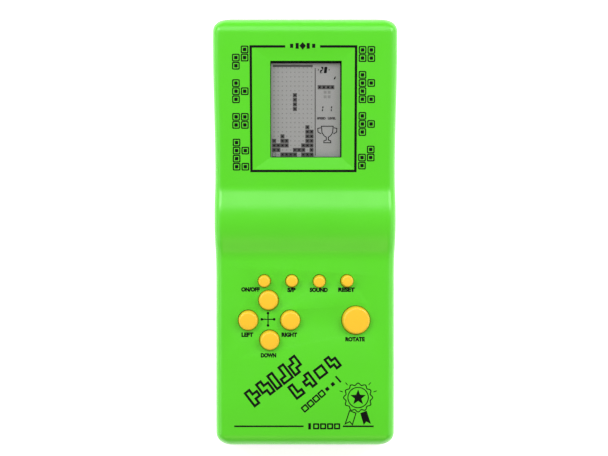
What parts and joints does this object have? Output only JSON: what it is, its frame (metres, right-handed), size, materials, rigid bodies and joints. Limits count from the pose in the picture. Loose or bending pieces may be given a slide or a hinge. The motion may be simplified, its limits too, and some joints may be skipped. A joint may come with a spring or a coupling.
{
  "type": "handheld lcd game",
  "caption": "Slim handheld LCD block-puzzle game: lime two-part case with tilted screen head, battery hump, round yellow keys and a hooked battery door.",
  "frame": {"origin": "middle of the case's flat back, where it rests on a table", "axes": "+Z out of the key deck, +Y towards the screen end, +X to the right as the player sees it"},
  "size_m": [0.078, 0.18, 0.0268],
  "materials": {
    "green_case": "semi-gloss moulded ABS",
    "charcoal_case": "fine-textured moulded ABS",
    "charcoal_door": "fine-textured moulded ABS",
    "zinc_screws": "zinc-plated steel",
    "zinc_screws_small": "zinc-plated steel",
    "clear_window": "clear polystyrene",
    "polariser": "grey film",
    "lcd_glass": "clear glass",
    "lcd_glass_rear": "clear glass",
    "reflector": "grey reflective film",
    "ivory_bracket": "moulded ABS",
    "ribbon_film": "carbon-striped polyester film",
    "circuit_board": "phenolic paper board",
    "black_epoxy": "epoxy drop",
    "capacitor_sleeve": "printed sleeve",
    "orange_ceramic": "dipped ceramic",
    "resistor_body": "lacquered ceramic",
    "keypad_rubber": "silicone rubber",
    "yellow_key": "glossy moulded ABS",
    "carbon_pill": "carbon-filled rubber",
    "cell_sleeve": "printed shrink sleeve on steel",
    "contact_plate": "nickel-plated spring steel",
    "contact_spring": "nickel-plated spring wire",
    "red_insulation": "PVC insulation",
    "black_insulation": "PVC insulation",
    "sounder_brass": "brass",
    "sounder_ceramic": "silvered ceramic"
  },
  "bodies": {
    "case": {"front_shell": "green_case", "rear_shell": "charcoal_case", "case_screws": "zinc_screws", "screen_window": "clear_window", "lcd_front_polariser": "polariser", "lcd_front_glass": "lcd_glass", "lcd_rear_glass": "lcd_glass_rear", "lcd_rear_reflector": "reflector", "lcd_bracket": "ivory_bracket", "lcd_bracket_screws": "zinc_screws_small", "heat_seal_ribbon": "ribbon_film", "main_pcb": "circuit_board", "chip_blob": "black_epoxy", "pcb_screws": "zinc_screws_small", "capacitors": "capacitor_sleeve", "resonator": "orange_ceramic", "resistors": "resistor_body", "keypad_sheet": "keypad_rubber", "aa_cell_1": "cell_sleeve", "aa_cell_2": "cell_sleeve", "positive_contact": "contact_plate", "negative_contact": "contact_plate", "bridge_contact": "contact_plate", "negative_spring": "contact_spring", "bridge_spring": "contact_spring", "red_wire": "red_insulation", "black_wire": "black_insulation", "buzzer_disc": "sounder_brass", "buzzer_ceramic": "sounder_ceramic", "buzzer_wire_red": "red_insulation", "buzzer_wire_black": "black_insulation"},
    "up_key": {"up_button": "yellow_key", "up_pill": "carbon_pill"},
    "down_key": {"down_button": "yellow_key", "down_pill": "carbon_pill"},
    "left_key": {"left_button": "yellow_key", "left_pill": "carbon_pill"},
    "right_key": {"right_button": "yellow_key", "right_pill": "carbon_pill"},
    "rotate_key": {"rotate_button": "yellow_key", "rotate_pill": "carbon_pill"},
    "on_off_key": {"on_off_button": "yellow_key", "on_off_pill": "carbon_pill"},
    "start_pause_key": {"start_pause_button": "yellow_key", "start_pause_pill": "carbon_pill"},
    "sound_key": {"sound_button": "yellow_key", "sound_pill": "carbon_pill"},
    "reset_key": {"reset_button": "yellow_key", "reset_pill": "carbon_pill"},
    "battery_cover": {"battery_door": "charcoal_door"}
  },
  "joints": [
    {"name": "up_press", "type": "slide", "parent": "case", "child": "up_key", "axis": [0, 0, -1], "range_m": [0, 0.00115], "stiffness_N_per_m": 550, "deforming": ["keypad_sheet"]},
    {"name": "down_press", "type": "slide", "parent": "case", "child": "down_key", "axis": [0, 0, -1], "range_m": [0, 0.00115], "stiffness_N_per_m": 550, "deforming": ["keypad_sheet"]},
    {"name": "left_press", "type": "slide", "parent": "case", "child": "left_key", "axis": [0, 0, -1], "range_m": [0, 0.00115], "stiffness_N_per_m": 550, "deforming": ["keypad_sheet"]},
    {"name": "right_press", "type": "slide", "parent": "case", "child": "right_key", "axis": [0, 0, -1], "range_m": [0, 0.00115], "stiffness_N_per_m": 550, "deforming": ["keypad_sheet"]},
    {"name": "rotate_press", "type": "slide", "parent": "case", "child": "rotate_key", "axis": [0, 0, -1], "range_m": [0, 0.00115], "stiffness_N_per_m": 700, "deforming": ["keypad_sheet"]},
    {"name": "on_off_press", "type": "slide", "parent": "case", "child": "on_off_key", "axis": [0, 0, -1], "range_m": [0, 0.00115], "stiffness_N_per_m": 450, "deforming": ["keypad_sheet"]},
    {"name": "start_pause_press", "type": "slide", "parent": "case", "child": "start_pause_key", "axis": [0, 0, -1], "range_m": [0, 0.00115], "stiffness_N_per_m": 450, "deforming": ["keypad_sheet"]},
    {"name": "sound_press", "type": "slide", "parent": "case", "child": "sound_key", "axis": [0, 0, -1], "range_m": [0, 0.00115], "stiffness_N_per_m": 450, "deforming": ["keypad_sheet"]},
    {"name": "reset_press", "type": "slide", "parent": "case", "child": "reset_key", "axis": [0, 0, -1], "range_m": [0, 0.00115], "stiffness_N_per_m": 450, "deforming": ["keypad_sheet"]},
    {"name": "battery_door_hinge", "type": "hinge", "parent": "case", "child": "battery_cover", "pos_m": [0, -0.0053, 0.0009], "axis": [-1, 0, 0], "range_deg": [0, 80]}
  ]
}
